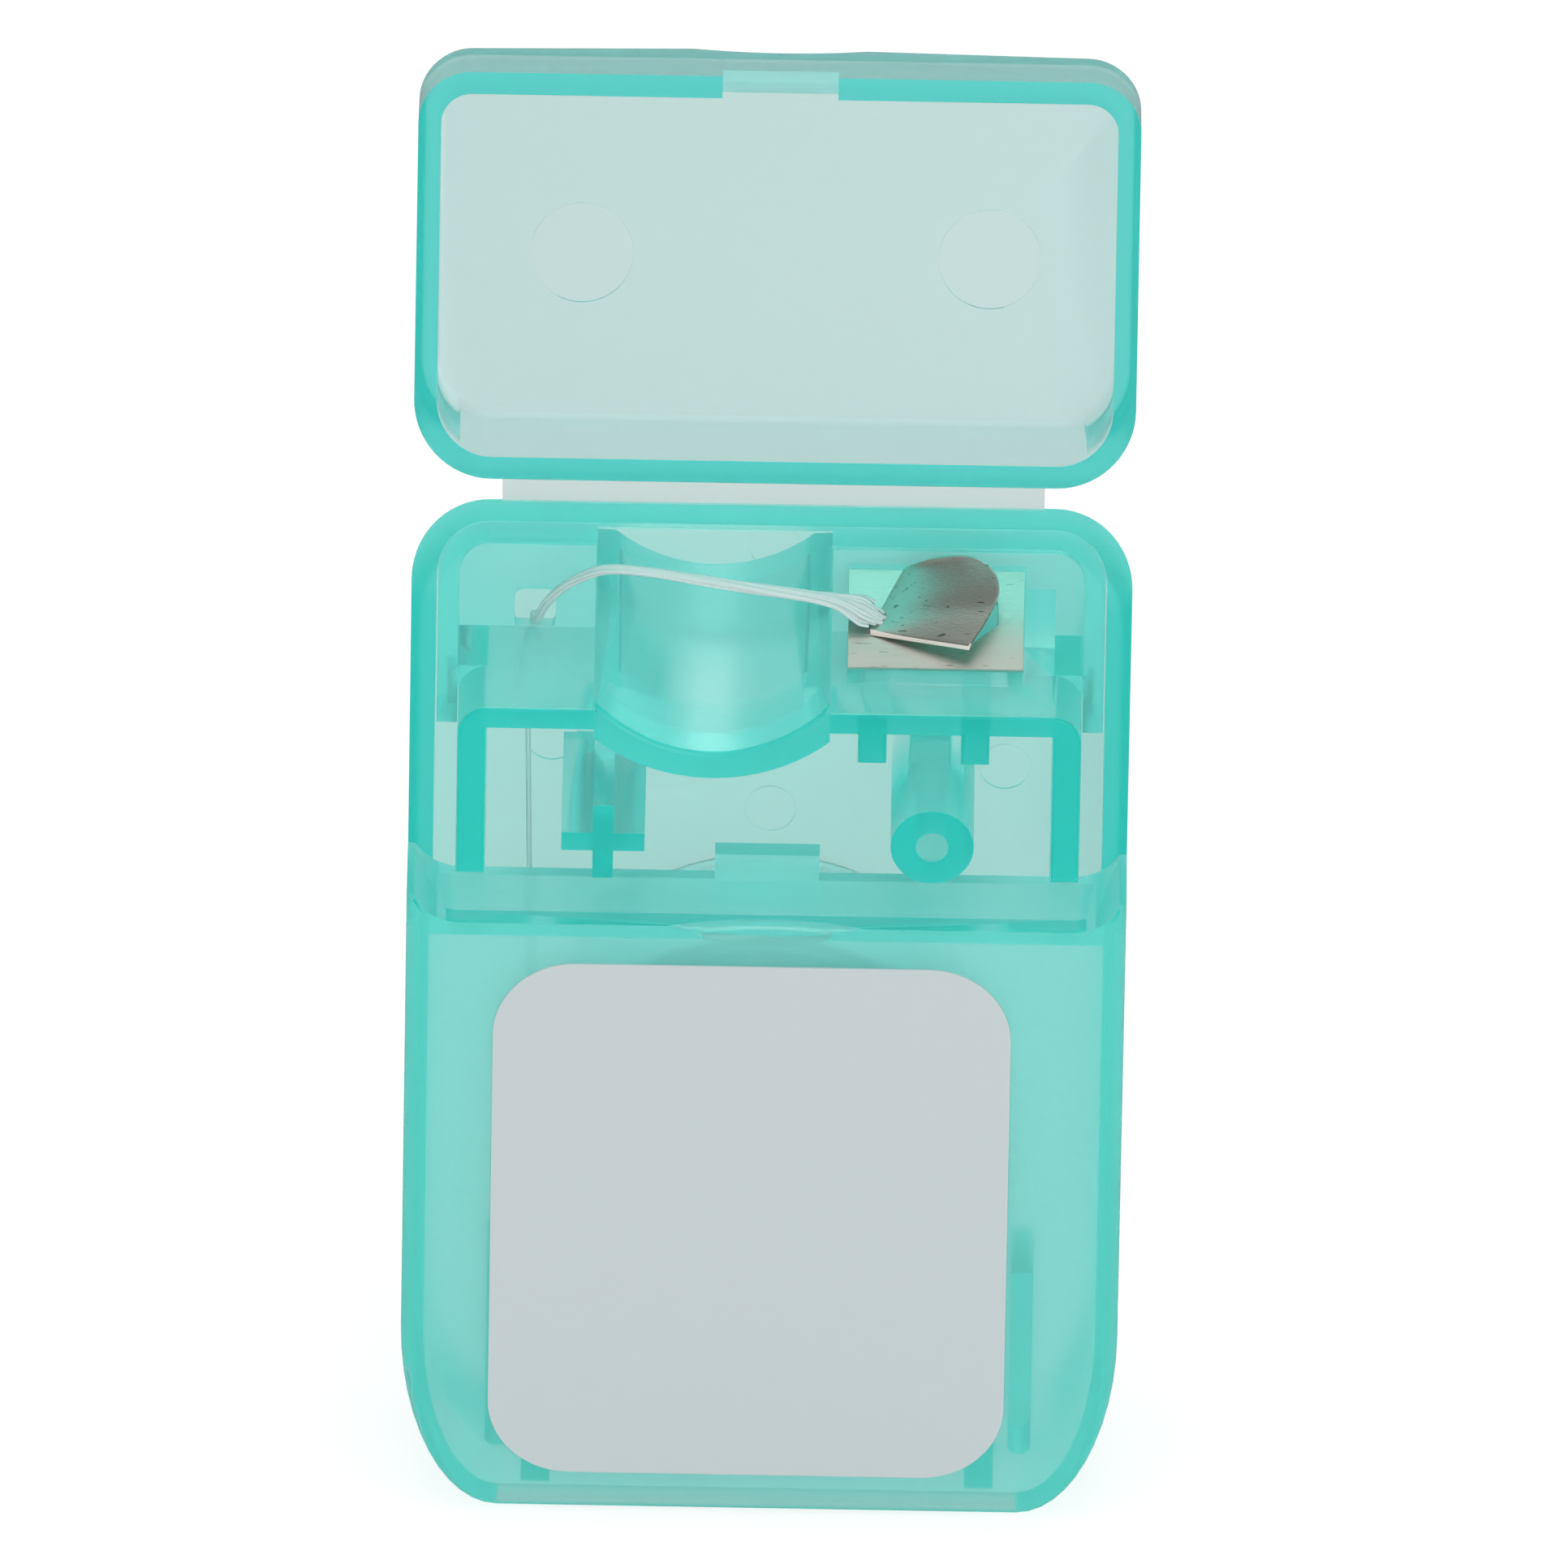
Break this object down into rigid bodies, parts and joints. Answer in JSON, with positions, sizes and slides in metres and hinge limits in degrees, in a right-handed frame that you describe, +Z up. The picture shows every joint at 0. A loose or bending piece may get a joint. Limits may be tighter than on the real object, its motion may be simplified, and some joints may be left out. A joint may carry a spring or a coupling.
{
  "type": "dental floss dispenser",
  "caption": "Flat pocket dispenser with a hinged lid over a floss outlet, a sloped finger trough and a steel cutter; a bobbin of waxed floss turns in its lower half.",
  "frame": {"origin": "centre of the base, on the flat face that the case stands on", "axes": "+Z up along the case towards the lid's hinge, -Y out of the front face, +X to the right seen from the front"},
  "size_m": [0.035, 0.0159, 0.0747],
  "materials": {
    "teal_polypropylene": "translucent, satin to glossy as moulded",
    "thin_polypropylene": "translucent, glossy",
    "stainless_steel": "rolled sheet, faint brushing",
    "white_polypropylene": "satin",
    "waxed_floss": "waxed, slightly translucent",
    "label_paper": "smooth, matt"
  },
  "bodies": {
    "case": {"back_case": "teal_polypropylene", "front_cover": "teal_polypropylene", "cutter": "stainless_steel", "living_hinge": "thin_polypropylene", "floss_strand": "waxed_floss", "label": "label_paper"},
    "lid": {"lid": "teal_polypropylene"},
    "bobbin": {"bobbin_core": "white_polypropylene", "floss_winding": "waxed_floss"}
  },
  "joints": [
    {"name": "lid_hinge", "type": "hinge", "parent": "case", "child": "lid", "pos_m": [0, -0.00085, 0.05445], "axis": [1, 0, 0], "range_deg": [0, 194.5], "deforming": ["living_hinge"]},
    {"name": "bobbin_spin", "type": "hinge", "parent": "case", "child": "bobbin", "pos_m": [0, 0.001, 0.0204], "axis": [0, 1, 0], "continuous": true}
  ]
}
